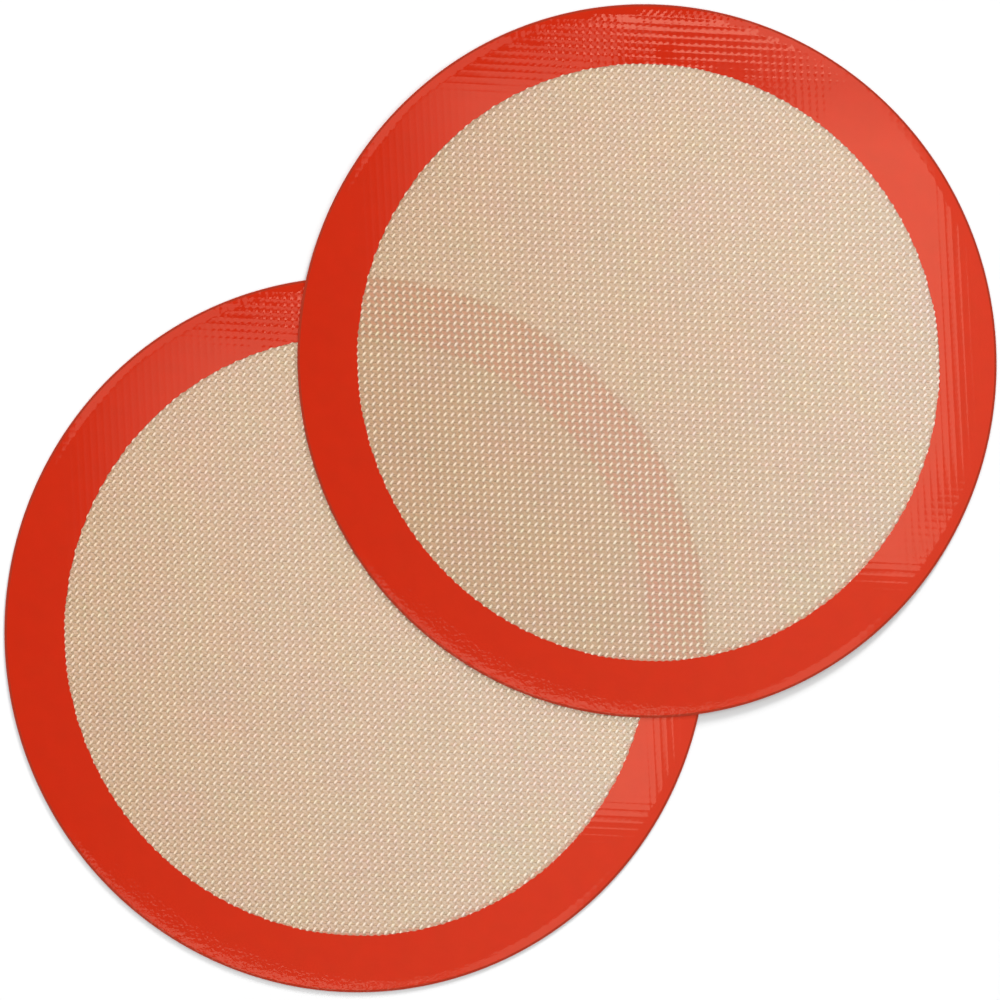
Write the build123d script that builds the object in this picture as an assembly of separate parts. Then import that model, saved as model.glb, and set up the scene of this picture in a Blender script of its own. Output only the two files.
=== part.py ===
from build123d import *
import math
import os

# A set of two round baking mats of silicone on a woven glass mesh, in millimetres.
# +X is right and +Y is up in the photograph, +Z is up off the table.
# The origin is on the table, halfway between the centres of the two mats.

# Driving dimensions.
mat_diameter = 305.0
border_width = 24.8
seal_width = 1.0
bottom_coat_thickness = 0.2
mesh_thickness = 0.3
top_coat_thickness = 0.2
upper_shift_x = 127.1
upper_shift_y = 117.3
bend_clearance = 2.0
bend_run = 36.0

# Radii and heights that follow from them. Heights are above a mat's own underside.
mat_radius = mat_diameter / 2
field_radius = mat_radius - border_width
mesh_radius = mat_radius - seal_width
mesh_bottom = bottom_coat_thickness
mesh_top = mesh_bottom + mesh_thickness
mat_thickness = mesh_top + top_coat_thickness

# The upper mat lies on the lower one, bends down just past its edge and then lies on the table.
# The bend is two equal arcs, one after the other, across the line that joins the two centres.
shift = Vector(upper_shift_x, upper_shift_y, 0)
lower_centre = shift * -0.5
upper_centre = shift * 0.5
bend_start = mat_radius + bend_clearance
bend_end = bend_start + bend_run
bend_turn = 2 * math.atan(mat_thickness / bend_run)
bend_radius = bend_run / (2 * math.sin(bend_turn))
slab_near = shift.length - mat_diameter
slab_far = shift.length + mat_diameter


def disc(radius):
    return Circle(radius)


def ring(outer_radius, inner_radius):
    return Circle(outer_radius) - Circle(inner_radius)


# Each piece of a mat: its outline from above, then its lower and its upper height.
pieces = {
    "bottom_coat": (disc(field_radius), 0, mesh_bottom),
    "bottom_border": (ring(mesh_radius, field_radius), 0, mesh_bottom),
    "glass_mesh": (disc(mesh_radius), mesh_bottom, mesh_top),
    "top_coat": (disc(field_radius), mesh_top, mat_thickness),
    "top_border": (ring(mesh_radius, field_radius), mesh_top, mat_thickness),
    "edge_seal": (ring(mat_radius, mesh_radius), 0, mat_thickness),
}


def draped_line(height):
    """The side view of one height of the upper mat: flat, bent down, bent level again, flat."""
    turn = math.degrees(bend_turn)
    on_mat = mat_thickness + height
    down = CenterArc((bend_start, mat_thickness - bend_radius), bend_radius + height, 90, -turn)
    level = CenterArc((bend_end, bend_radius), bend_radius - height, -90 - turn, turn)
    return [
        Line((slab_near, on_mat), (bend_start, on_mat)),
        down,
        level,
        Line((bend_end, height), (slab_far, height)),
    ]


def draped_slab(low, high):
    """Everything between two heights of the upper mat, larger all round than its outline."""
    side_view = Plane(origin=lower_centre, x_dir=shift, z_dir=shift.cross(Vector(0, 0, 1)))
    near_end = Line((slab_near, mat_thickness + low), (slab_near, mat_thickness + high))
    far_end = Line((slab_far, low), (slab_far, high))
    section = make_face(draped_line(low) + draped_line(high) + [near_end, far_end])
    return extrude(side_view * section, mat_diameter, both=True)


def lower_piece(outline, low, high):
    """A flat layer, or a ring of one, on the table."""
    return Pos(lower_centre) * Pos(0, 0, low) * extrude(outline, high - low)


def upper_piece(outline, low, high):
    """The same layer in the draped mat, cut to its outline from straight above."""
    column = Pos(upper_centre) * extrude(outline, 2 * mat_thickness)
    return column & draped_slab(low, high)


os.makedirs("parts", exist_ok=True)
for piece, (outline, low, high) in pieces.items():
    export_step(lower_piece(outline, low, high), f"parts/lower_{piece}.step")
    export_step(upper_piece(outline, low, high), f"parts/upper_{piece}.step")
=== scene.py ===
import math

import bpy
import bmesh
import numpy as np
from mathutils import Matrix, Vector


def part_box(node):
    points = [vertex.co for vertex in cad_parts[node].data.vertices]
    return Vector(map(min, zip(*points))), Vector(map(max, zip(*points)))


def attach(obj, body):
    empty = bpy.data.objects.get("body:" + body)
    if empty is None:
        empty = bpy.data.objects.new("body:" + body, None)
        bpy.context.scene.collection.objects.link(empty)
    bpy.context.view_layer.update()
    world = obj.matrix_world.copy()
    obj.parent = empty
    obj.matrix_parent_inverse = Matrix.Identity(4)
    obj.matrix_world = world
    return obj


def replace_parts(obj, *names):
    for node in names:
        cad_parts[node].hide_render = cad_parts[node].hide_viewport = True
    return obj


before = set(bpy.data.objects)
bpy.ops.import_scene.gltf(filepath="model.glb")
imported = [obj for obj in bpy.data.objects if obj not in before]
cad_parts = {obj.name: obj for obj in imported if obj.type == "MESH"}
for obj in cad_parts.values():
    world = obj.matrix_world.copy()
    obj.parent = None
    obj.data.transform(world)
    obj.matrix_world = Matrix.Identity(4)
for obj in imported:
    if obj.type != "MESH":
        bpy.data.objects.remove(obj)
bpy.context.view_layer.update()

mm = 0.001  # the scene is in metres, sizes of the mats are written in millimetres

# Two thin round baking mats: silicone on a woven glass mesh, cream field, red border.
# The upper mat lies on the lower one and on the table, as in the photograph.

photo = {
    "middleX": 502.6, "middleY": 497.35,  # pixel halfway between the two centres
    "halfFrame": 500.0,
    "mmPerPixel": 0.4265,
    "tilt": math.radians(11.53),  # the camera leans away from straight down
    "leanX": -0.982, "leanY": -0.188,  # and stands towards this side
    "distance": 12.0, "near": 0.1, "far": 100,
}
weave = {
    "columnPitch": 3.096 * mm, "columnAngle": math.radians(-2.48),  # step from column to column
    "rowPitch": 3.018 * mm, "rowAngle": math.radians(-87.24),  # step from row to row
    "halfSpan": 49.0,  # cells from the middle of a mat to its rim
    "reach": 151.5 * mm,  # the mesh runs under the border to the edge seal
    "wander": 0.35 * mm, "wanderScale": 9.0, "seed": 4,
}
knot = {"lean": 52.0, "length": 0.5, "width": 0.3}  # of a cell, slant up from the rows
drape = {"clearance": 2.0 * mm, "run": 90.0 * mm}  # the upper mat's bend, past the lower mat's edge


def polar(size, angle):
    return Vector((size * math.cos(angle), size * math.sin(angle), 0))


columnStep = polar(weave["columnPitch"], weave["columnAngle"])
rowStep = polar(weave["rowPitch"], weave["rowAngle"])
latticeInverse = np.linalg.inv(np.array([columnStep.xy, rowStep.xy]).T)


# Centre and radii of one mat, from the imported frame.
def readMat(side):
    low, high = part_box(side + "_edge_seal")
    fieldLow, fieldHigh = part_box(side + "_top_coat")
    middle = (low + high) / 2
    return {
        "side": side, "body": side + "_mat", "x": middle.x, "y": middle.y,
        "radius": max(high.x - low.x, high.y - low.y) / 2,
        "field": max(fieldHigh.x - fieldLow.x, fieldHigh.y - fieldLow.y) / 2,
    }


mats = {side: readMat(side) for side in ("lower", "upper")}
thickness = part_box("lower_edge_seal")[1].z


# How far a mat's underside is above the table at points x, y.
def restingHeight(mat, x, y):
    if mat["side"] == "lower":
        return np.zeros_like(x)
    lower = mats["lower"]
    across = np.array([mat["x"] - lower["x"], mat["y"] - lower["y"]])
    across = across / np.linalg.norm(across)
    along = (x - lower["x"]) * across[0] + (y - lower["y"]) * across[1]
    part = np.clip((along - lower["radius"] - drape["clearance"]) / drape["run"], 0, 1)
    down = np.where(part < 0.5, 2 * part ** 2, 1 - 2 * (1 - part) ** 2)
    return thickness * (1 - down)


# How the pieces are made

def linear(code):  # an sRGB hex colour as linear red, green, blue and alpha
    parts = [int(code[i:i + 2], 16) / 255 for i in (1, 3, 5)]
    return [p / 12.92 if p <= 0.04045 else ((p + 0.055) / 1.055) ** 2.4 for p in parts] + [1.0]


# A node with its settings, and its inputs set to values or linked to sockets.
# A node given as an input stands for its first output in use.
# In a Mix node, 0 is the factor, 2 and 3 are its two numbers, 6 and 7 its two colours.
def addNode(tree, kind, links=None, **settings):
    node = tree.nodes.new(kind)
    for key, value in settings.items():
        setattr(node, key, value)
    for key, value in (links or {}).items():
        if isinstance(value, bpy.types.Node):
            value = next(output for output in value.outputs if output.enabled)
        if isinstance(value, bpy.types.NodeSocket):
            tree.links.new(value, node.inputs[key])
        else:
            node.inputs[key].default_value = value
    return node


# Puts a piece made round the origin where its mat lies, with its weave and bake maps.
def layOut(piece, mat):
    data = piece.data
    points = np.empty(len(data.vertices) * 3)
    data.vertices.foreach_get("co", points)
    points = points.reshape(-1, 3)
    cells = points[:, :2] @ latticeInverse.T
    flat = points[:, :2] / (2 * mat["radius"]) + 0.5
    corners = np.empty(len(data.loops), dtype=np.int32)
    data.loops.foreach_get("vertex_index", corners)
    for name, values in (("weave", cells), ("OFBake", flat)):
        layer = data.uv_layers.new(name=name)
        layer.data.foreach_set("uv", values[corners].astype(np.float32).ravel())
    points[:, 0] += mat["x"]
    points[:, 1] += mat["y"]
    points[:, 2] += restingHeight(mat, points[:, 0], points[:, 1])
    data.vertices.foreach_set("co", points.ravel())
    data.update()
    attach(piece, mat["body"])
    return piece


crease = math.radians(35)  # folds sharper than this stay crisp


# Turns a closed outline of (radius, height) points round the vertical axis.
def lathe(name, outline, steps, material):
    shape = bmesh.new()
    rings = []
    for radius, height in outline:
        if radius == 0:
            rings.append([shape.verts.new((0, 0, height))] * steps)
            continue
        turns = [2 * math.pi * i / steps for i in range(steps)]
        rings.append([shape.verts.new((radius * math.cos(t), radius * math.sin(t), height)) for t in turns])
    for inner, outer in zip(rings, rings[1:] + rings[:1]):
        for i in range(steps):
            j = (i + 1) % steps
            corners = dict.fromkeys((inner[i], outer[i], outer[j], inner[j]))
            if len(corners) > 2:
                shape.faces.new(corners)
    bmesh.ops.recalc_face_normals(shape, faces=shape.faces)
    data = bpy.data.meshes.new(name)
    shape.to_mesh(data)
    shape.free()
    data.polygons.foreach_set("use_smooth", [True] * len(data.polygons))
    data.set_sharp_from_angle(angle=crease)
    data.materials.append(material)
    piece = bpy.data.objects.new(name, data)
    bpy.context.scene.collection.objects.link(piece)
    return piece


# Materials. Their patterns follow the weave map, which counts cells of 3 mm from the middle
# of a mat, so a noise of scale 2 has grains of 1.5 mm and one of scale 0.12 patches of 25 mm.

gloss = {"siliconeIor": 1.41}


def newMaterial(name):
    material = bpy.data.materials.new(name)
    material.use_nodes = True
    tree = material.node_tree
    tree.nodes.clear()
    return material, tree


# The weave map, whole and with its columns and rows as separate numbers.
def weaveMap(tree):
    cells = addNode(tree, "ShaderNodeUVMap", uv_map="weave")
    return cells, addNode(tree, "ShaderNodeSeparateXYZ", {"Vector": cells})


# Painted light: a colour that goes from a darker left to a lighter right over the mat, standing in for more
# light and sheen falling from the right.
def paintedLightAcrossMat(tree, place, left, right):
    part = addNode(tree, "ShaderNodeMapRange", {
        "Value": place.outputs["X"], "From Min": -weave["halfSpan"], "From Max": weave["halfSpan"]})
    return addNode(tree, "ShaderNodeMix", {0: part, 6: linear(left), 7: linear(right)}, data_type="RGBA")


# The colour with a slight drift of hue and tone over the weave.
def mottled(tree, cells, colour, scale, amount):
    noise = addNode(tree, "ShaderNodeTexNoise", {"Vector": cells, "Scale": scale, "Detail": 2.0})
    drift = addNode(tree, "ShaderNodeMix", {
        0: 1.0, 6: noise.outputs["Color"], 7: (2.0, 2.0, 2.0, 1.0)}, data_type="RGBA", blend_type="MULTIPLY")
    drifted = addNode(tree, "ShaderNodeMix", {
        0: 1.0, 6: colour, 7: drift}, data_type="RGBA", blend_type="MULTIPLY")
    return addNode(tree, "ShaderNodeMix", {0: amount, 6: colour, 7: drifted}, data_type="RGBA")


# 1 on each row or column line, 0 between them.
def bandWave(tree, line):
    turn = addNode(tree, "ShaderNodeMath", {0: line, 1: 2 * math.pi}, operation="MULTIPLY")
    wave = addNode(tree, "ShaderNodeMath", {0: turn}, operation="COSINE")
    raised = addNode(tree, "ShaderNodeMapRange", {"Value": wave, "From Min": -1.0, "From Max": 1.0})
    return addNode(tree, "ShaderNodeMath", {0: raised, 1: borderLook["bandPower"]}, operation="POWER")


# 1 in the middle of each slanted knot of the weave, 0 outside it.
def slantedKnots(tree, place):
    offset = {}
    for axis in ("X", "Y"):
        moved = addNode(tree, "ShaderNodeMath", {0: place.outputs[axis], 1: 0.5}, operation="ADD")
        inCell = addNode(tree, "ShaderNodeMath", {0: moved, 1: 1.0}, operation="FLOORED_MODULO")
        offset[axis] = addNode(tree, "ShaderNodeMath", {0: inCell, 1: 0.5}, operation="SUBTRACT")
    lean = math.radians(knot["lean"])
    squares = []
    for acrossX, acrossY, size in ((math.cos(lean), -math.sin(lean), borderLook["knotLength"]),
                                   (math.sin(lean), math.cos(lean), borderLook["knotWidth"])):
        partX = addNode(tree, "ShaderNodeMath", {0: offset["X"], 1: acrossX / size}, operation="MULTIPLY")
        partY = addNode(tree, "ShaderNodeMath", {0: offset["Y"], 1: acrossY / size}, operation="MULTIPLY")
        part = addNode(tree, "ShaderNodeMath", {0: partX, 1: partY}, operation="ADD")
        squares.append(addNode(tree, "ShaderNodeMath", {0: part, 1: part}, operation="MULTIPLY"))
    off = addNode(tree, "ShaderNodeMath", {0: squares[0], 1: squares[1]}, operation="ADD")
    near = addNode(tree, "ShaderNodeMath", {0: 1.0, 1: off}, operation="SUBTRACT", use_clamp=True)
    return addNode(tree, "ShaderNodeMath", {0: near, 1: near}, operation="MULTIPLY")


# Painted light: the border red goes lighter towards the right of the mat.
borderLook = {
    # Painted shade: the bead red is darker, standing in for the shade on the rounded edge.
    "left": "#CC2D15", "right": "#D8402A", "shadedBead": "#AE3824", "roughness": 0.03,
    "mottleScale": 0.35, "mottle": 0.06,
    "knotRelief": 0.0050 * mm, "rowRelief": 0.0030 * mm, "columnRelief": 0.0024 * mm, "bandPower": 3.0,
    "knotLength": 0.62, "knotWidth": 0.40,  # of a cell: the print spreads the shape of each knot
    "headFrom": -32.0, "headTo": -41.0,  # row where the head of the border starts, and where it is full
    "dashesFrom": 9.0, "dashesSlope": 0.6,  # left of this column the dashes keep nearer to the rim
    "headKnots": 2.7, "headRows": 1.0, "otherKnots": 0.3,
    "patchScale": 0.3, "patchLow": 0.36, "patchHigh": 0.50, "thinnest": 0.25,
    "swellScale": 0.25, "swell": 0.0450 * mm,
    "footFrom": 28.0, "footTo": 38.0, "rimFrom": 47.6,
    "grainScale": 2.0, "grain": 0.0800 * mm,
}


# Printed silicone, cured glossy: orange red, shows the weave as ribs in the soft-box reflections.
def makeRedSilicone(name, left, right):
    look = borderLook
    material, tree = newMaterial(name)
    cells, place = weaveMap(tree)
    # Painted light: the red is lighter towards the right of the mat, except at its head, which keeps the
    # darker left red.
    head = addNode(tree, "ShaderNodeMapRange", {
        "Value": place.outputs["Y"], "From Min": look["headFrom"], "From Max": look["headTo"]})
    toneWithPaintedLight = addNode(tree, "ShaderNodeMix", {
        0: head, 6: paintedLightAcrossMat(tree, place, left, right), 7: linear(left)}, data_type="RGBA")
    colour = mottled(tree, cells, toneWithPaintedLight, look["mottleScale"], look["mottle"])
    knots = addNode(tree, "ShaderNodeMath", {
        0: slantedKnots(tree, place), 1: look["knotRelief"]}, operation="MULTIPLY")
    rows = addNode(tree, "ShaderNodeMath", {
        0: bandWave(tree, place.outputs["Y"]), 1: look["rowRelief"]}, operation="MULTIPLY")
    columns = addNode(tree, "ShaderNodeMath", {
        0: bandWave(tree, place.outputs["X"]), 1: look["columnRelief"]}, operation="MULTIPLY")

    # A fine grain by the rim at the foot of the mat.
    speckle = addNode(tree, "ShaderNodeTexNoise", {
        "Vector": cells, "Scale": look["grainScale"], "Detail": 1.0})
    foot = addNode(tree, "ShaderNodeMapRange", {
        "Value": place.outputs["Y"], "From Min": look["footFrom"], "From Max": look["footTo"]})
    fromMiddle = addNode(tree, "ShaderNodeVectorMath", {0: cells}, operation="LENGTH")
    rim = addNode(tree, "ShaderNodeMapRange", {
        "Value": fromMiddle, "From Min": look["rimFrom"], "From Max": weave["halfSpan"]})
    footRim = addNode(tree, "ShaderNodeMath", {0: foot, 1: rim}, operation="MULTIPLY")
    speckled = addNode(tree, "ShaderNodeMath", {0: speckle, 1: footRim}, operation="MULTIPLY")
    grain = addNode(tree, "ShaderNodeMath", {0: speckled, 1: look["grain"]}, operation="MULTIPLY")

    # At the head of the mat the knots stand proud in patches, on a slow swell.
    patches = addNode(tree, "ShaderNodeTexNoise", {
        "Vector": cells, "Scale": look["patchScale"], "Detail": 1.0})
    thin = addNode(tree, "ShaderNodeMapRange", {
        "Value": patches, "From Min": look["patchLow"], "From Max": look["patchHigh"],
        "To Min": look["thinnest"]})
    column = addNode(tree, "ShaderNodeMath", {
        0: place.outputs["X"], 1: look["dashesFrom"]}, operation="ADD")
    leftOf = addNode(tree, "ShaderNodeMath", {0: column, 1: 0.0}, operation="MINIMUM")
    row = addNode(tree, "ShaderNodeMath", {
        0: leftOf, 1: -look["dashesSlope"], 2: place.outputs["Y"]}, operation="MULTIPLY_ADD")
    dashed = addNode(tree, "ShaderNodeMapRange", {
        "Value": row, "From Min": look["headFrom"], "From Max": look["headTo"]})
    full = addNode(tree, "ShaderNodeMath", {0: dashed, 1: thin}, operation="MULTIPLY")
    knotGain = addNode(tree, "ShaderNodeMath", {
        0: full, 1: look["headKnots"], 2: look["otherKnots"]}, operation="MULTIPLY_ADD")
    rowGain = addNode(tree, "ShaderNodeMath", {
        0: full, 1: look["headRows"], 2: 1.0}, operation="MULTIPLY_ADD")
    headKnots = addNode(tree, "ShaderNodeMath", {0: knots, 1: knotGain}, operation="MULTIPLY")
    headRows = addNode(tree, "ShaderNodeMath", {0: rows, 1: rowGain}, operation="MULTIPLY")
    waves = addNode(tree, "ShaderNodeTexNoise", {
        "Vector": cells, "Scale": look["swellScale"], "Detail": 0.0})
    headWaves = addNode(tree, "ShaderNodeMath", {0: waves, 1: dashed}, operation="MULTIPLY")
    swell = addNode(tree, "ShaderNodeMath", {0: headWaves, 1: look["swell"]}, operation="MULTIPLY")

    ribs = addNode(tree, "ShaderNodeMath", {0: headKnots, 1: headRows}, operation="ADD")
    raised = addNode(tree, "ShaderNodeMath", {0: ribs, 1: swell}, operation="ADD")
    fine = addNode(tree, "ShaderNodeMath", {0: columns, 1: grain}, operation="ADD")
    relief = addNode(tree, "ShaderNodeMath", {0: raised, 1: fine}, operation="ADD")
    bump = addNode(tree, "ShaderNodeBump", {"Strength": 1.0, "Distance": 1.0, "Height": relief})
    surface = addNode(tree, "ShaderNodeBsdfPrincipled", {
        "Base Color": colour, "Roughness": look["roughness"], "IOR": gloss["siliconeIor"], "Normal": bump})
    addNode(tree, "ShaderNodeOutputMaterial", {"Surface": surface})
    return material


# Painted light: crowns and valleys go lighter towards the right of the mat; the crowns' cream is partly
# painted highlight, the valleys' tan partly painted shade.
yarnLook = {
    "crownLeft": "#F8DEC2", "crownLitRight": "#FFF3E6", "valleyLeft": "#D0AE88", "valleyLitRight": "#F0D5B8",
    "crownFrom": 0.15, "crownTo": 0.65,
    "fineScale": 0.9, "fine": 0.08, "broadScale": 0.12, "broad": 0.05,
    "roughness": 0.35, "through": 0.15, "clear": 0.28,
}


# Glass yarn soaked in silicone: bright cream where it stands proud, tan where it lies deep under more
# silicone, partly painted highlight on the crowns and painted shade in the valleys.
def makeGlassYarn():
    look = yarnLook
    material, tree = newMaterial("soakedGlassYarn")
    cells, place = weaveMap(tree)
    crown = addNode(tree, "ShaderNodeAttribute", attribute_name="crown")
    proud = addNode(tree, "ShaderNodeMapRange", {
        "Value": crown.outputs["Fac"], "From Min": look["crownFrom"], "From Max": look["crownTo"]},
        interpolation_type="SMOOTHSTEP")
    toneWithPaintedLight = addNode(tree, "ShaderNodeMix", {
        0: proud, 6: paintedLightAcrossMat(tree, place, look["valleyLeft"], look["valleyLitRight"]),
        7: paintedLightAcrossMat(tree, place, look["crownLeft"], look["crownLitRight"])}, data_type="RGBA")
    threads = mottled(tree, cells, toneWithPaintedLight, look["fineScale"], look["fine"])
    colour = mottled(tree, cells, threads, look["broadScale"], look["broad"])
    solid = addNode(tree, "ShaderNodeBsdfPrincipled", {
        "Base Color": colour, "Roughness": look["roughness"], "IOR": gloss["siliconeIor"]})
    through = addNode(tree, "ShaderNodeBsdfTranslucent", {"Color": colour})
    deep = addNode(tree, "ShaderNodeMath", {0: 1.0, 1: proud}, operation="SUBTRACT")
    throughShare = addNode(tree, "ShaderNodeMath", {0: deep, 1: look["through"]}, operation="MULTIPLY")
    cloudy = addNode(tree, "ShaderNodeMixShader", {"Fac": throughShare, 1: solid, 2: through})

    # The lower half of a yarn adds nothing, whichever side of it a ray meets.
    face = addNode(tree, "ShaderNodeNewGeometry")
    normal = addNode(tree, "ShaderNodeSeparateXYZ", {0: face.outputs["Normal"]})
    outward = addNode(tree, "ShaderNodeMath", {0: 0.5, 1: face.outputs["Backfacing"]}, operation="SUBTRACT")
    upward = addNode(tree, "ShaderNodeMath", {0: normal.outputs["Z"], 1: outward}, operation="MULTIPLY")
    lowerHalf = addNode(tree, "ShaderNodeMath", {0: upward, 1: 0.0}, operation="LESS_THAN")
    clearShare = addNode(tree, "ShaderNodeMath", {0: deep, 1: look["clear"]}, operation="MULTIPLY")
    share = addNode(tree, "ShaderNodeMath", {0: clearShare, 1: lowerHalf}, operation="MAXIMUM")
    clear = addNode(tree, "ShaderNodeBsdfTransparent")
    surface = addNode(tree, "ShaderNodeMixShader", {"Fac": share, 1: cloudy, 2: clear})
    addNode(tree, "ShaderNodeOutputMaterial", {"Surface": surface})
    return material


# Painted light: the milky body's cream goes lighter towards the right of the mat.
filmLook = {
    "topHaze": 0.02, "topRoughness": 0.3,
    "left": "#F6CA9F", "right": "#FFEAD1", "mottleScale": 0.12, "mottle": 0.05,
    "bodyHaze": 0.56, "bodyThrough": 0.15,
}


# Clear silicone film: satin gloss over the weave, hardly any colour of its own.
def makeTopFilm():
    material, tree = newMaterial("clearSiliconeFilm")
    clear = addNode(tree, "ShaderNodeBsdfTransparent")
    milk = addNode(tree, "ShaderNodeBsdfDiffuse", {"Color": linear(filmLook["right"])})
    film = addNode(tree, "ShaderNodeMixShader", {"Fac": filmLook["topHaze"], 1: clear, 2: milk})
    sheen = addNode(tree, "ShaderNodeBsdfGlossy", {"Roughness": filmLook["topRoughness"]})
    edge = addNode(tree, "ShaderNodeFresnel", {"IOR": gloss["siliconeIor"]})
    face = addNode(tree, "ShaderNodeNewGeometry")
    outside = addNode(tree, "ShaderNodeMath", {0: 1.0, 1: face.outputs["Backfacing"]}, operation="SUBTRACT")
    share = addNode(tree, "ShaderNodeMath", {0: edge, 1: outside}, operation="MULTIPLY")  # none from inside
    surface = addNode(tree, "ShaderNodeMixShader", {"Fac": share, 1: film, 2: sheen})
    addNode(tree, "ShaderNodeOutputMaterial", {"Surface": surface})
    return material


# Milky silicone between the yarns: cream, lets through some light and what lies under the mat.
def makeMilkyBody():
    look = filmLook
    material, tree = newMaterial("milkySilicone")
    cells, place = weaveMap(tree)
    # Painted light: its cream is lighter towards the right of the mat.
    colour = mottled(tree, cells, paintedLightAcrossMat(tree, place, look["left"], look["right"]),
                     look["mottleScale"], look["mottle"])
    clear = addNode(tree, "ShaderNodeBsdfTransparent")
    milk = addNode(tree, "ShaderNodeBsdfDiffuse", {"Color": colour})
    through = addNode(tree, "ShaderNodeBsdfTranslucent", {"Color": colour})
    cloudy = addNode(tree, "ShaderNodeMixShader", {"Fac": look["bodyThrough"], 1: milk, 2: through})
    surface = addNode(tree, "ShaderNodeMixShader", {"Fac": look["bodyHaze"], 1: clear, 2: cloudy})
    addNode(tree, "ShaderNodeOutputMaterial", {"Surface": surface})
    return material


# Underside of a film: leaves the look to its upper face, so that light passes it only once.
def makeClearUnderside():
    material, tree = newMaterial("clearUnderside")
    addNode(tree, "ShaderNodeOutputMaterial", {"Surface": addNode(tree, "ShaderNodeBsdfTransparent")})
    return material


redSilicone = makeRedSilicone("printedRedSilicone", borderLook["left"], borderLook["right"])
# The edge bead's red is darker than the border's: painted shade of its rounded edge.
edgeShadedSilicone = makeRedSilicone("shadedEdgeRedSilicone", borderLook["shadedBead"], borderLook["shadedBead"])
glassYarn = makeGlassYarn()
topFilm = makeTopFilm()
milkyBody = makeMilkyBody()
clearUnderside = makeClearUnderside()
print("materials made")


# Woven glass mesh: wefts run left to right, warps run in twisted pairs from top to bottom.
# Each doup warp crosses over every weft on the slant, each ground warp passes under it.

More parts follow.
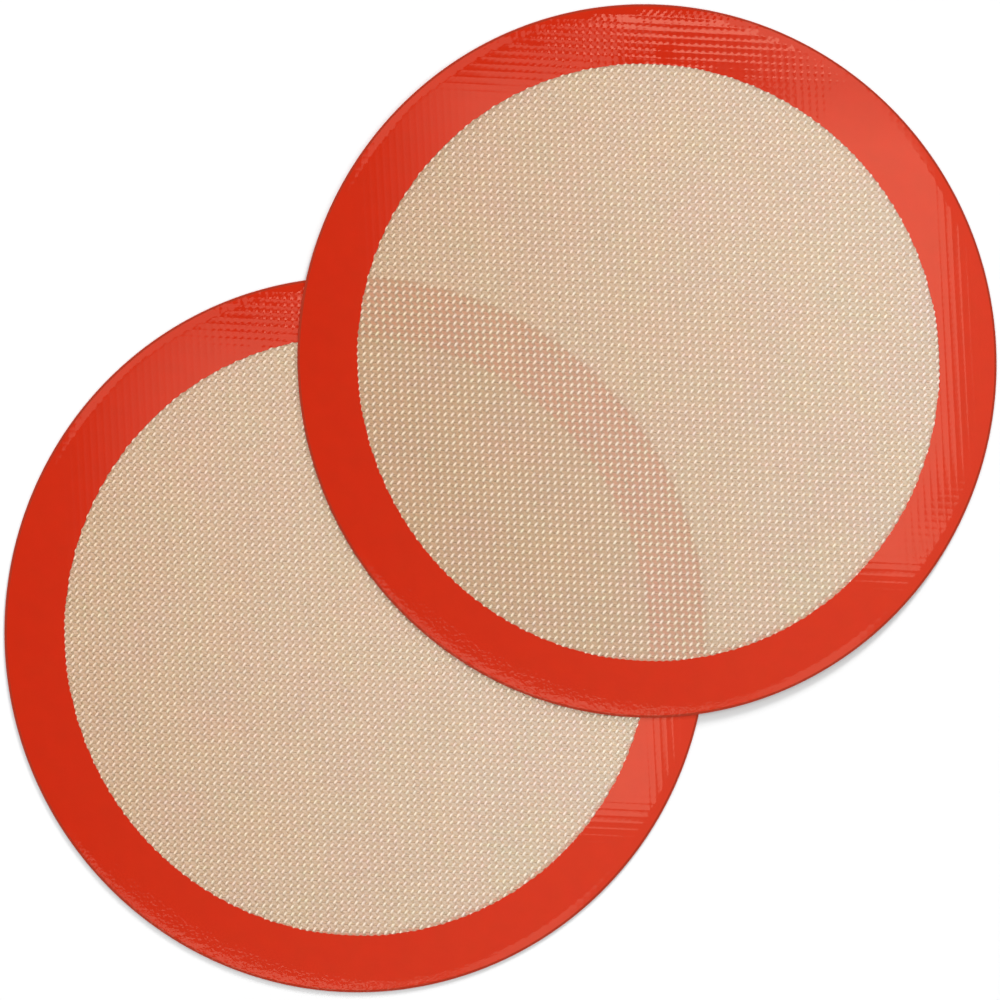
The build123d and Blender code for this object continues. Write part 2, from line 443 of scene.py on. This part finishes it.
def makeYarnTree():
    tree = bpy.data.node_groups.new("yarnFamily", "GeometryNodeTree")
    face = tree.interface
    for name, kind in (
        ("Along", "Vector"), ("Across", "Vector"), ("Steps Per Cell", "Float"), ("Cells", "Float"),
        ("Level", "Float"), ("Rise", "Float"), ("Swing", "Float"), ("Width", "Float"), ("Height", "Float"),
        ("Reach", "Float"), ("Wander", "Float"), ("Wander Scale", "Float"), ("Seed", "Float"),
        ("Crown Low", "Float"), ("Crown High", "Float"),
        ("Print Start", "Float"), ("Print Fade", "Float"), ("Print Squeeze", "Float"),
        ("Print Level", "Float"),
        ("Drift Way", "Vector"), ("Drift", "Float"), ("Drift Twice", "Float"),
        ("Material", "Material"),
    ):
        face.new_socket(name, in_out="INPUT", socket_type="NodeSocket" + kind)
    face.new_socket("Geometry", in_out="OUTPUT", socket_type="NodeSocketGeometry")
    given = tree.nodes.new("NodeGroupInput").outputs

    # A line of points for each yarn, with x counting steps and y counting yarns.
    steps = addNode(tree, "ShaderNodeMath", {
        0: given["Steps Per Cell"], 1: given["Cells"]}, operation="MULTIPLY")
    length = addNode(tree, "ShaderNodeMath", {0: steps, 1: 2.0}, operation="MULTIPLY")
    count = addNode(tree, "ShaderNodeMath", {0: given["Cells"], 1: 2.0}, operation="MULTIPLY")
    grid = addNode(tree, "GeometryNodeMeshGrid", {
        "Size X": length, "Size Y": count,
        "Vertices X": addNode(tree, "ShaderNodeMath", {0: length, 1: 1.0}, operation="ADD"),
        "Vertices Y": addNode(tree, "ShaderNodeMath", {0: count, 1: 1.0}, operation="ADD")})
    ends = addNode(tree, "GeometryNodeInputMeshEdgeVertices")
    gap = addNode(tree, "ShaderNodeVectorMath", {
        0: ends.outputs["Position 1"], 1: ends.outputs["Position 2"]}, operation="SUBTRACT")
    gapParts = addNode(tree, "ShaderNodeSeparateXYZ", {0: gap})
    gapAcross = addNode(tree, "ShaderNodeMath", {0: gapParts.outputs["Y"]}, operation="ABSOLUTE")
    crossing = addNode(tree, "ShaderNodeMath", {0: gapAcross, 1: 0.5}, operation="GREATER_THAN")
    lines = addNode(tree, "GeometryNodeDeleteGeometry", {
        "Geometry": grid, "Selection": crossing}, domain="EDGE", mode="EDGE_FACE")
    place = addNode(tree, "ShaderNodeSeparateXYZ", {0: addNode(tree, "GeometryNodeInputPosition")})
    cell = addNode(tree, "ShaderNodeMath", {
        0: place.outputs["X"], 1: given["Steps Per Cell"]}, operation="DIVIDE")
    turn = addNode(tree, "ShaderNodeMath", {0: cell, 1: 2 * math.pi}, operation="MULTIPLY")
    wave = addNode(tree, "ShaderNodeMath", {0: turn}, operation="COSINE")
    crown = addNode(tree, "ShaderNodeMapRange", {
        "Value": wave, "From Min": -1.0, "From Max": 1.0,
        "To Min": given["Crown Low"], "To Max": given["Crown High"]})
    kept = addNode(tree, "GeometryNodeStoreNamedAttribute", {
        "Geometry": lines, "Name": "crown", "Value": crown}, data_type="FLOAT", domain="POINT")

    # Where each point lies, seen from above, and how far the yarn swings to its side.
    along = addNode(tree, "ShaderNodeVectorMath", {0: given["Along"], "Scale": cell}, operation="SCALE")
    across = addNode(tree, "ShaderNodeVectorMath", {
        0: given["Across"], "Scale": place.outputs["Y"]}, operation="SCALE")
    base = addNode(tree, "ShaderNodeVectorMath", {0: along, 1: across}, operation="ADD")
    sideways = addNode(tree, "ShaderNodeVectorMath", {0: given["Across"]}, operation="NORMALIZE")
    sine = addNode(tree, "ShaderNodeMath", {0: turn}, operation="SINE")
    swing = addNode(tree, "ShaderNodeMath", {0: sine, 1: given["Swing"]}, operation="MULTIPLY")
    swung = addNode(tree, "ShaderNodeVectorMath", {0: sideways, "Scale": swing}, operation="SCALE")

    # How high it lies: waves in the field, nearly flat under the print, whose edge drifts.
    fieldHeight = addNode(tree, "ShaderNodeMath", {
        0: wave, 1: given["Rise"], 2: given["Level"]}, operation="MULTIPLY_ADD")
    fromMiddle = addNode(tree, "ShaderNodeVectorMath", {0: base}, operation="LENGTH")
    outward = addNode(tree, "ShaderNodeVectorMath", {0: base}, operation="NORMALIZE")
    once = addNode(tree, "ShaderNodeVectorMath", {
        0: outward, 1: given["Drift Way"]}, operation="DOT_PRODUCT")
    square = addNode(tree, "ShaderNodeMath", {0: once, 1: once}, operation="MULTIPLY")
    double = addNode(tree, "ShaderNodeMath", {0: square, 1: 2.0}, operation="MULTIPLY")
    twice = addNode(tree, "ShaderNodeMath", {0: double, 1: 1.0}, operation="SUBTRACT")
    driftOnce = addNode(tree, "ShaderNodeMath", {0: once, 1: given["Drift"]}, operation="MULTIPLY")
    drift = addNode(tree, "ShaderNodeMath", {
        0: twice, 1: given["Drift Twice"], 2: driftOnce}, operation="MULTIPLY_ADD")
    undrifted = addNode(tree, "ShaderNodeMath", {0: fromMiddle, 1: drift}, operation="SUBTRACT")
    printFull = addNode(tree, "ShaderNodeMath", {
        0: given["Print Start"], 1: given["Print Fade"]}, operation="ADD")
    squeezed = addNode(tree, "ShaderNodeMapRange", {
        "Value": undrifted, "From Min": given["Print Start"], "From Max": printFull,
        "To Min": 0.0, "To Max": given["Print Squeeze"]})
    height = addNode(tree, "ShaderNodeMix", {
        0: squeezed, 2: fieldHeight, 3: given["Print Level"]}, data_type="FLOAT")
    lifted = addNode(tree, "ShaderNodeCombineXYZ", {"Z": height})

    # Each yarn wanders a little, and ends at the edge seal.
    noise = addNode(tree, "ShaderNodeTexNoise", {
        "Vector": base, "W": given["Seed"], "Scale": given["Wander Scale"], "Detail": 1.0},
        noise_dimensions="4D")
    centred = addNode(tree, "ShaderNodeVectorMath", {
        0: noise.outputs["Color"], 1: (0.5, 0.5, 0.5)}, operation="SUBTRACT")
    flatNoise = addNode(tree, "ShaderNodeVectorMath", {0: centred, 1: (1, 1, 0)}, operation="MULTIPLY")
    wander = addNode(tree, "ShaderNodeVectorMath", {
        0: flatNoise, "Scale": given["Wander"]}, operation="SCALE")
    total = base
    for part in (swung, lifted, wander):
        total = addNode(tree, "ShaderNodeVectorMath", {0: total, 1: part}, operation="ADD")
    placed = addNode(tree, "GeometryNodeSetPosition", {"Geometry": kept, "Position": total})
    here = addNode(tree, "ShaderNodeVectorMath", {
        0: addNode(tree, "GeometryNodeInputPosition"), 1: (1, 1, 0)}, operation="MULTIPLY")
    away = addNode(tree, "ShaderNodeVectorMath", {0: here}, operation="LENGTH")
    outside = addNode(tree, "ShaderNodeMath", {0: away, 1: given["Reach"]}, operation="GREATER_THAN")
    cut = addNode(tree, "GeometryNodeDeleteGeometry", {
        "Geometry": placed, "Selection": outside}, domain="POINT", mode="ALL")

    # A flat four-sided yarn along each line.
    curves = addNode(tree, "GeometryNodeMeshToCurve", {"Mesh": cut})
    upright = addNode(tree, "GeometryNodeSetCurveNormal", {"Curve": curves}, mode="Z_UP")
    section = addNode(tree, "GeometryNodeCurvePrimitiveCircle", {
        "Resolution": 4, "Radius": 1.0}, mode="RADIUS")
    size = addNode(tree, "ShaderNodeCombineXYZ", {"X": given["Width"], "Y": given["Height"], "Z": 1.0})
    sized = addNode(tree, "GeometryNodeTransform", {"Geometry": section, "Scale": size})
    tubes = addNode(tree, "GeometryNodeCurveToMesh", {
        "Curve": upright, "Profile Curve": sized, "Fill Caps": True})
    smooth = addNode(tree, "GeometryNodeSetShadeSmooth", {"Geometry": tubes})
    real = addNode(tree, "GeometryNodeRealizeInstances", {"Geometry": smooth})
    painted = addNode(tree, "GeometryNodeSetMaterial", {"Geometry": real, "Material": given["Material"]})
    addNode(tree, "NodeGroupOutput", {0: painted})
    return tree


# Runs a geometry tree once and keeps its result as a plain mesh.
def growPiece(name, tree, values):
    maker = bpy.data.objects.new(name + "_maker", bpy.data.meshes.new(name + "_maker"))
    bpy.context.scene.collection.objects.link(maker)
    modifier = maker.modifiers.new("grow", "NODES")
    modifier.node_group = tree
    for item in tree.interface.items_tree:
        if item.in_out == "INPUT" and item.name in values:
            modifier[item.identifier] = values[item.name]
    depsgraph = bpy.context.evaluated_depsgraph_get()
    data = bpy.data.meshes.new_from_object(maker.evaluated_get(depsgraph), depsgraph=depsgraph)
    data.name = name
    bpy.data.objects.remove(maker)
    piece = bpy.data.objects.new(name, data)
    bpy.context.scene.collection.objects.link(piece)
    return piece


yarns = {
    "weft_yarns": {"Along": columnStep, "Across": rowStep, "Steps Per Cell": 2.0,
                   "Level": 0.39 * mm, "Rise": -0.03 * mm, "Swing": 0.0,
                   "Width": 0.60 * mm, "Height": 0.13 * mm, "Crown Low": 0.1, "Crown High": 0.1},
    "ground_warps": {"Along": rowStep, "Across": columnStep, "Steps Per Cell": 2.0,
                     "Level": 0.36 * mm, "Rise": -0.10 * mm, "Swing": 0.36 * mm,
                     "Width": 0.34 * mm, "Height": 0.12 * mm, "Crown Low": 0.0, "Crown High": 0.0},
    "doup_warps": {"Along": rowStep, "Across": columnStep, "Steps Per Cell": 4.0,
                   "Level": 0.44 * mm, "Rise": 0.10 * mm, "Swing": -0.55 * mm,
                   "Width": 0.56 * mm, "Height": 0.155 * mm, "Crown Low": 0.0, "Crown High": 1.0,
                   "Reach": 134.0 * mm},
}
# Under the print the yarns are pressed nearly flat.
underPrint = {"ahead": 0.6 * mm, "fade": 2.0 * mm, "squeeze": 0.75, "level": 0.36 * mm}
border = {
    "crest": 0.64 * mm,  # a little over the top film, a little under the tops of the knots
    "shoulder": 4.0 * mm, "shoulderDrop": 0.12 * mm,
    "parting": 0.35 * mm,  # where the upper and the lower print meet
    "seal": 1.0 * mm, "beadRound": 0.25 * mm, "beadDip": 0.05 * mm,
    "inset": 0.4 * mm,  # how far the print runs over the field
    "drift": 0.8 * mm, "driftTwice": 0.7 * mm, "driftTurn": math.radians(-60),  # hand-laid print edge
    "tooth": 0.50 * mm, "toothBack": 0.20 * mm, "toothReach": 3.0 * mm,
    "flatRows": 3, "shoulderRows": 8, "beadRows": 5,
    "toothedSteps": 2160, "steps": 720,  # round the mat; the toothed edge needs more
}
yarnTree = makeYarnTree()
made = {}
for side, mat in mats.items():
    cloth = []
    for kind, values in yarns.items():
        common = {
            "Cells": 60.0, "Reach": weave["reach"], "Wander": weave["wander"],
            "Wander Scale": weave["wanderScale"], "Seed": float(weave["seed"]), "Material": glassYarn,
            "Print Start": mat["field"] - underPrint["ahead"], "Print Fade": underPrint["fade"],
            "Print Squeeze": underPrint["squeeze"], "Print Level": underPrint["level"],
            "Drift Way": polar(1, border["driftTurn"]), "Drift": border["drift"],
            "Drift Twice": border["driftTwice"],
        }
        piece = layOut(growPiece(side + "_" + kind, yarnTree, {**common, **values}), mat)
        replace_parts(piece, side + "_glass_mesh")
        print(piece.name, len(piece.data.polygons), "faces")
        cloth.append(piece)
    made[side] = cloth
print("glass mesh woven")


# Coats, borders and edge seal

coats = {
    "topOver": 0.60 * mm, "topUnder": 0.54 * mm, "bodyOver": 0.41 * mm, "bodyUnder": 0.02 * mm,
    "tuck": 3.0 * mm,  # how far they run under the print
    "rings": 30, "steps": 180,
}


def filmOutline(radius, low, high):
    stations = [radius * i / coats["rings"] for i in range(coats["rings"] + 1)]
    return [(r, low) for r in stations] + [(r, high) for r in reversed(stations)]


# Section of a printed ring: sharp inner edge, flat top, rounded shoulder at the outside.
def printOutline(mat, low, high, drop):
    start, stop = mat["field"] - border["inset"], mat["radius"] - border["seal"]
    toothed, flat = start + border["toothReach"], stop - border["shoulder"]
    outline = [(start, low), (start, high), (start + border["toothReach"] / 2, high), (toothed, high)]
    for i in range(1, border["flatRows"] + 1):
        outline.append((toothed + (flat - toothed) * i / border["flatRows"], high))
    for i in range(1, border["shoulderRows"] + 1):
        part = i / border["shoulderRows"]
        outline.append((flat + border["shoulder"] * part, high - drop * part ** 2))
    return outline + [(stop, low), (flat, low), (toothed, low)]


# Section of the sealed edge: flat below, rounded outside, level with the shoulder inside.
def beadOutline(mat):
    inside, outside = mat["radius"] - border["seal"], mat["radius"]
    top = border["crest"] - border["shoulderDrop"]
    curve = border["beadRound"]
    shoulder = top - border["beadDip"] - curve
    turns = [math.pi / 2 * i / border["beadRows"] for i in range(1, border["beadRows"] + 1)]
    outline = [(inside, 0), (outside - curve, 0)]
    outline += [(outside - curve + curve * math.sin(t), curve - curve * math.cos(t)) for t in turns]
    outline += [(outside - curve + curve * math.cos(t), shoulder + curve * math.sin(t)) for t in turns]
    return outline + [(inside, top)]


# Moves a print's inner edge: in over the valleys of the weave, back from its knots.
def fray(piece, mat):
    data = piece.data
    points = np.empty(len(data.vertices) * 3)
    data.vertices.foreach_get("co", points)
    points = points.reshape(-1, 3)
    radius = np.hypot(points[:, 0], points[:, 1])
    angle = np.arctan2(points[:, 1], points[:, 0]) - border["driftTurn"]
    cells = points[:, :2] @ latticeInverse.T
    offset = cells - np.round(cells)
    lean = math.radians(knot["lean"])
    along = (offset[:, 0] * math.cos(lean) - offset[:, 1] * math.sin(lean)) / knot["length"]
    across = (offset[:, 0] * math.sin(lean) + offset[:, 1] * math.cos(lean)) / knot["width"]
    tooth = np.exp(-along ** 2 - across ** 2) * border["tooth"] - border["toothBack"]
    drift = border["drift"] * np.cos(angle) + border["driftTwice"] * np.cos(2 * angle)
    start = mat["field"] - border["inset"]
    near = np.clip(1 - (radius - start) / border["toothReach"], 0, 1)
    points[:, :2] *= (1 + (tooth + drift) * near / radius)[:, None]
    data.vertices.foreach_set("co", points.ravel())
    data.update()


for side, mat in mats.items():
    radius = mat["field"] + coats["tuck"]
    coated = {}
    pieces = {
        "top_film": (filmOutline(radius, coats["topUnder"], coats["topOver"]),
                     coats["steps"], topFilm, "top_coat"),
        "milky_body": (filmOutline(radius, coats["bodyUnder"], coats["bodyOver"]),
                       coats["steps"], milkyBody, "bottom_coat"),
        "top_print": (printOutline(mat, border["parting"], border["crest"], border["shoulderDrop"]),
                      border["toothedSteps"], redSilicone, "top_border"),
        "bottom_print": (printOutline(mat, 0, border["parting"], 0),
                         border["steps"], redSilicone, "bottom_border"),
        "edge_bead": (beadOutline(mat), border["steps"], edgeShadedSilicone, "edge_seal"),
    }
    for kind, (outline, steps, material, node) in pieces.items():
        piece = lathe(side + "_" + kind, outline, steps, material)
        if kind == "top_print":
            fray(piece, mat)
        if material in (topFilm, milkyBody):
            piece.data.materials.append(clearUnderside)
            piece.data.polygons.foreach_set(
                "material_index", [int(face.normal.z < -0.5) for face in piece.data.polygons])
        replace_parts(layOut(piece, mat), side + "_" + node)
        coated[kind] = piece
        print(piece.name, len(piece.data.polygons), "faces")
    made[side] += coated.values()
print("coats and borders made")


# Table, light and camera

tableLook = {"size": 30, "drop": 0.03 * mm, "colour": "#E9E7E4", "bare": 0.73, "lift": 0.075}


# Painted table board, matt: renders white where the camera sees it bare, and keeps the shadows.
def makeTableMaterial():
    material, tree = newMaterial("paleTable")
    ray = addNode(tree, "ShaderNodeLightPath")
    bare = addNode(tree, "ShaderNodeMath", {
        0: ray.outputs["Transparent Depth"], 1: 0.5}, operation="LESS_THAN")
    seen = addNode(tree, "ShaderNodeMath", {0: ray.outputs["Is Camera Ray"], 1: bare}, operation="MULTIPLY")
    colour = addNode(tree, "ShaderNodeMix", {
        0: seen, 6: linear(tableLook["colour"]), 7: [tableLook["bare"]] * 3 + [1]}, data_type="RGBA")
    lit = addNode(tree, "ShaderNodeBsdfDiffuse", {"Color": colour})
    lift = addNode(tree, "ShaderNodeMath", {0: seen, 1: tableLook["lift"]}, operation="MULTIPLY")
    glow = addNode(tree, "ShaderNodeEmission", {"Color": (1, 1, 1, 1), "Strength": lift})
    surface = addNode(tree, "ShaderNodeAddShader", {0: lit, 1: glow})
    addNode(tree, "ShaderNodeOutputMaterial", {"Surface": surface})
    return material


bpy.ops.mesh.primitive_plane_add(size=tableLook["size"], location=(0, 0, -tableLook["drop"]))
table = bpy.context.object
table.name = "table"
table.data.materials.append(makeTableMaterial())

lean = Vector((photo["leanX"], photo["leanY"], 0)).normalized()
pixel = photo["mmPerPixel"] * mm
lookAt = Vector(((photo["halfFrame"] - photo["middleX"]) * pixel,
                 (photo["middleY"] - photo["halfFrame"]) * pixel, thickness))
towardsCamera = Vector((0, 0, 1)) * math.cos(photo["tilt"]) + lean * math.sin(photo["tilt"])
mirrored = Vector((0, 0, 1)) * math.cos(photo["tilt"]) - lean * math.sin(photo["tilt"])

cameraData = bpy.data.cameras.new("camera")
cameraData.lens = cameraData.sensor_width * photo["distance"] / (2 * photo["halfFrame"] * pixel)
cameraData.clip_start, cameraData.clip_end = photo["near"], photo["far"]
camera = bpy.data.objects.new("camera", cameraData)
bpy.context.scene.collection.objects.link(camera)
turn = Matrix.Rotation(photo["tilt"], 4, Vector((0, 0, 1)).cross(lean))
camera.matrix_world = Matrix.Translation(lookAt + towardsCamera * photo["distance"]) @ turn
bpy.context.scene.camera = camera


# A soft box that the camera doesn't see; fade is how much of its left, right, low and high edge dims.
def softPanel(name, place, width, height, radiance, fade=(0, 0, 0, 0), tint=(1, 1, 1)):
    data = bpy.data.lights.new(name, "AREA")
    data.shape = "RECTANGLE"
    data.size, data.size_y = width, height
    data.energy = radiance * math.pi * width * height
    data.color = tint
    if any(fade):
        data.use_nodes = True
        tree = data.node_tree
        tree.nodes.clear()
        spot = addNode(tree, "ShaderNodeSeparateXYZ", {
            0: addNode(tree, "ShaderNodeNewGeometry").outputs["Parametric"]})
        strength = 1.0
        for axis, low, high in (("X", fade[0], fade[1]), ("Y", fade[2], fade[3])):
            for start, stop in ((0, low), (1, 1 - high)):
                if start != stop:
                    edge = addNode(tree, "ShaderNodeMapRange", {
                        "Value": spot.outputs[axis], "From Min": start, "From Max": stop})
                    strength = addNode(tree, "ShaderNodeMath", {0: edge, 1: strength}, operation="MULTIPLY")
        addNode(tree, "ShaderNodeOutputLight", {
            "Surface": addNode(tree, "ShaderNodeEmission", {"Strength": strength})})
    lamp = bpy.data.objects.new(name, data)
    bpy.context.scene.collection.objects.link(lamp)
    lamp.matrix_world = place
    lamp.visible_camera = False
    return lamp


rig = {"height": 0.8, "tint": (1.35, 0.90, 0.66)}  # warm, as the red below scatters part of it


# Where, at the rig's height, the camera sees by mirror reflection at the point x, y of a mat.
def mirrorOf(x, y):
    eye = camera.matrix_world.translation
    grow = rig["height"] / eye.z
    return Vector((x + (x - eye.x) * grow, y + (y - eye.y) * grow, rig["height"]))


mirrorPanels = {
    # name: x, y, width, height in mm from the mat's centre, clock turn, radiance, fade
    "windowRight": (98.75, 33, 76.5, 238, 0, 1.9, (0, 0.02, 0, 0)),
    "drapedWindow": (139.5, -65, 10, 24, 0, 1.9, (0, 0, 0, 0.3)),  # seen where the upper mat bends down
    "windowMiddle": (12, 24, 97, 168, 0, 1.8, (0, 0, 0.1, 0)),
    "windowLeft": (-67, 68, 118, 158, 0, 1.7, (0.6, 0, 0.2, 0.06)),
    "rimTop": (26, 158, 122, 32, 0, 4.6, (0.15, 0.1, 0, 0)),
    "glowTop": (48, 126, 84, 36, 0, 0.8, (0.6, 0, 0, 0)),
    "rimLeft": (0, 210, 150, 100, 322, 1.3, (0.1, 0, 0, 0)),
    "rimRight": (0, 210, 180, 100, 34, 2.0, (0, 0.3, 0, 0)),
    "rimFoot": (0, 215, 190, 80, 196, 1.9, (0.1, 0.1, 0, 0)),
    "rimFootLeft": (0, 225, 90, 70, 224, 1.6, (0.1, 0.3, 0, 0)),
    "rimFootRight": (0, 205, 130, 90, 152, 1.1, (0.2, 0.2, 0, 0)),
}
for side, mat in mats.items():
    matOnly = bpy.data.collections.new(side + "Lit")
    for piece in made[side]:
        matOnly.objects.link(piece)
    for name, (x, y, width, height, clock, radiance, fade) in mirrorPanels.items():
        if name == "drapedWindow" and side == "lower":
            continue
        turned = Matrix.Rotation(math.radians(-clock), 4, "Z")
        middle = turned @ Vector((x * mm, y * mm, 0))
        place = Matrix.Translation(mirrorOf(mat["x"] + middle.x, mat["y"] + middle.y)) @ turned
        lamp = softPanel(side + "_" + name, place, width * mm, height * mm, radiance, fade, rig["tint"])
        lamp.light_linking.receiver_collection = matOnly

keyStrip = {"place": Vector((-0.6, 2.8, 1.1)), "width": 2.4, "height": 0.5, "radiance": 8.3}
facing = (-keyStrip["place"]).to_track_quat("-Z", "Y").to_matrix().to_4x4()
key = softPanel("keyStrip", Matrix.Translation(keyStrip["place"]) @ facing,
                keyStrip["width"], keyStrip["height"], keyStrip["radiance"])
key.visible_glossy = False  # low views of the mats keep their colour

sun = {"strength": 5.3, "elevation": 12.0, "clock": 20.0, "softness": 9.0}  # low light on the table alone
sunData = bpy.data.lights.new("tableSun", "SUN")
sunData.energy = sun["strength"]
sunData.angle = math.radians(sun["softness"])
tableSun = bpy.data.objects.new("tableSun", sunData)
bpy.context.scene.collection.objects.link(tableSun)
tableSun.matrix_world = (Matrix.Rotation(math.radians(-sun["clock"]), 4, "Z")
                         @ Matrix.Rotation(math.radians(sun["elevation"] - 90), 4, "X"))
onTheTable = bpy.data.collections.new("onTheTable")
onTheTable.objects.link(table)
tableSun.light_linking.receiver_collection = onTheTable
tableSun.visible_glossy = False

# The room is even, but dark round the spot that the mats mirror to the camera.
room = {"level": 1.29, "spotLevel": 0.02, "spotFrom": 18.0, "spotTo": 32.0, "mirrorShare": 0.35}
world = bpy.data.worlds.new("studio")
bpy.context.scene.world = world
world.use_nodes = True
tree = world.node_tree
tree.nodes.clear()
sky = addNode(tree, "ShaderNodeTexCoord")
towards = addNode(tree, "ShaderNodeVectorMath", {
    0: sky.outputs["Generated"], 1: mirrored}, operation="DOT_PRODUCT")
level = addNode(tree, "ShaderNodeMapRange", {
    "Value": towards,
    "From Min": math.cos(math.radians(room["spotTo"])), "From Max": math.cos(math.radians(room["spotFrom"])),
    "To Min": room["level"], "To Max": room["spotLevel"]}, interpolation_type="SMOOTHSTEP")
mirrorLevel = addNode(tree, "ShaderNodeMath", {0: level, 1: room["mirrorShare"]}, operation="MULTIPLY")
path = addNode(tree, "ShaderNodeLightPath")
strength = addNode(tree, "ShaderNodeMix", {
    0: path.outputs["Is Glossy Ray"], 2: level, 3: mirrorLevel}, data_type="FLOAT")
background = addNode(tree, "ShaderNodeBackground", {"Strength": strength})
addNode(tree, "ShaderNodeOutputWorld", {"Surface": background})
bpy.context.scene.view_settings.view_transform = "Standard"
bpy.context.scene.cycles.transparent_max_bounces = 32  # light crosses the clear films of both mats
print("studio set")
